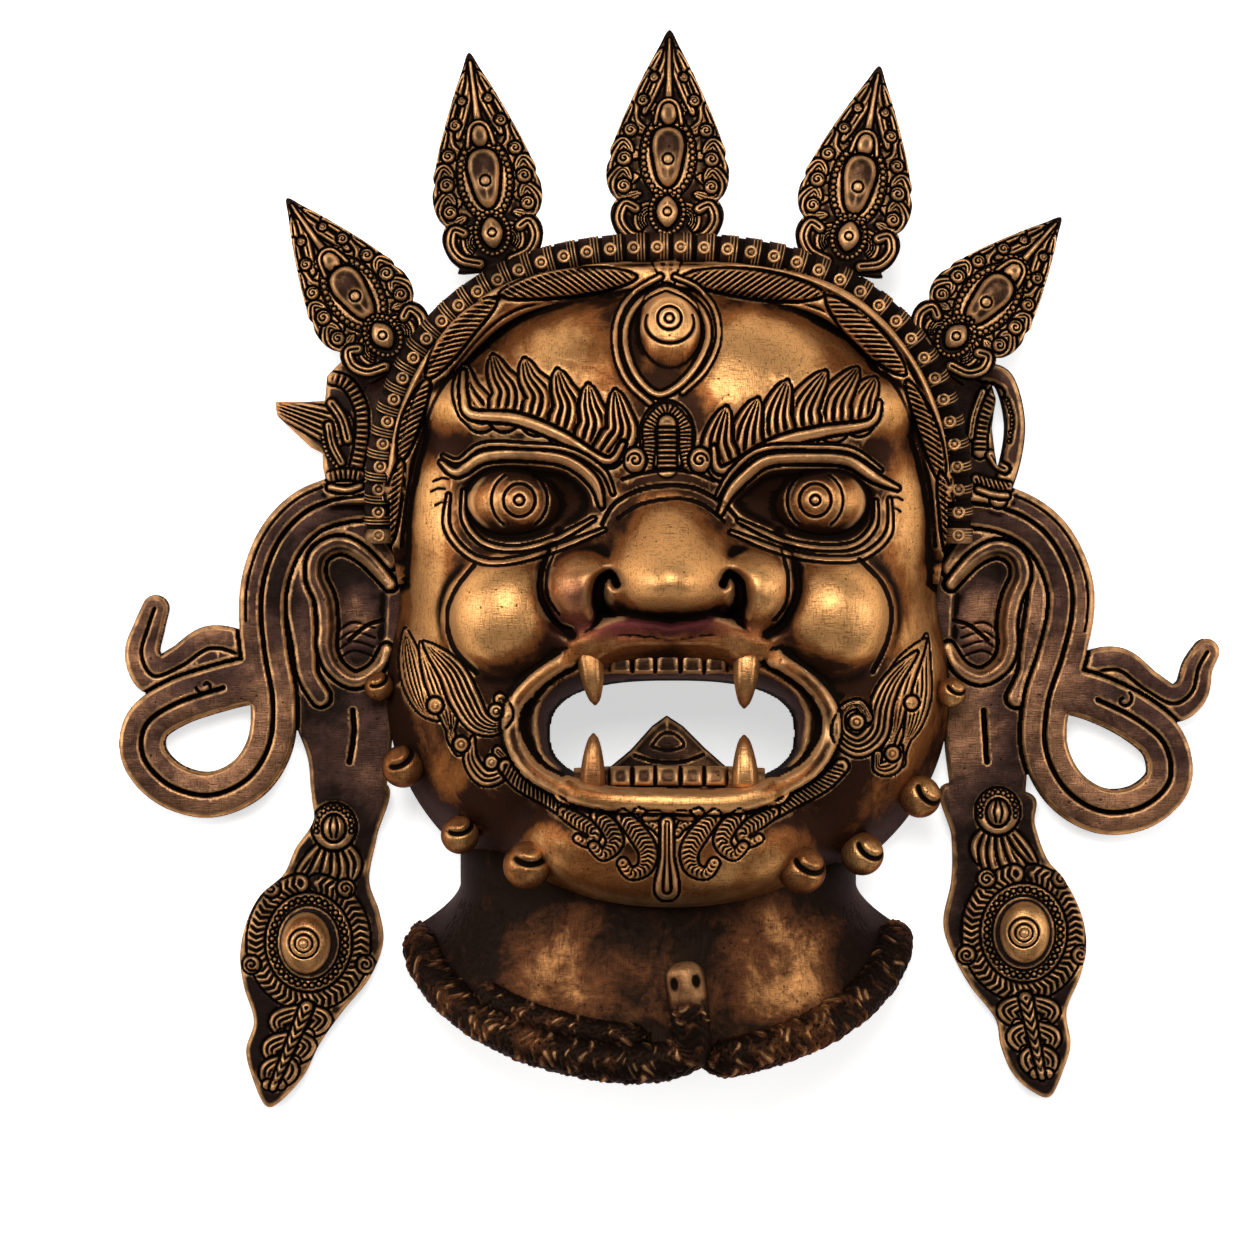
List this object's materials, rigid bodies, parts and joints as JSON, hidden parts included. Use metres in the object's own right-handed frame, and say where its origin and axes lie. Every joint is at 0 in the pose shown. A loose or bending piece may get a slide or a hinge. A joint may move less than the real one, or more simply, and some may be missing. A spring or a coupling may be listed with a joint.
{
  "type": "mask",
  "caption": "Cast deity face mask with an open fanged mouth, leaf crown, long ears with curled ribbons and drop pendants, and a snake collar; hollow behind",
  "frame": {"origin": "middle of the bounding box in plan, on the plane of the back rim", "axes": "+X to the right as seen from the front, +Y to the crown, +Z out of the face"},
  "size_m": [0.277, 0.2694, 0.0819],
  "materials": {
    "aged_bronze": "cast bronze, dark brown patina in the hollows, polished golden on the high spots"
  },
  "bodies": {
    "root": {"mask": "aged_bronze"}
  },
  "joints": []
}
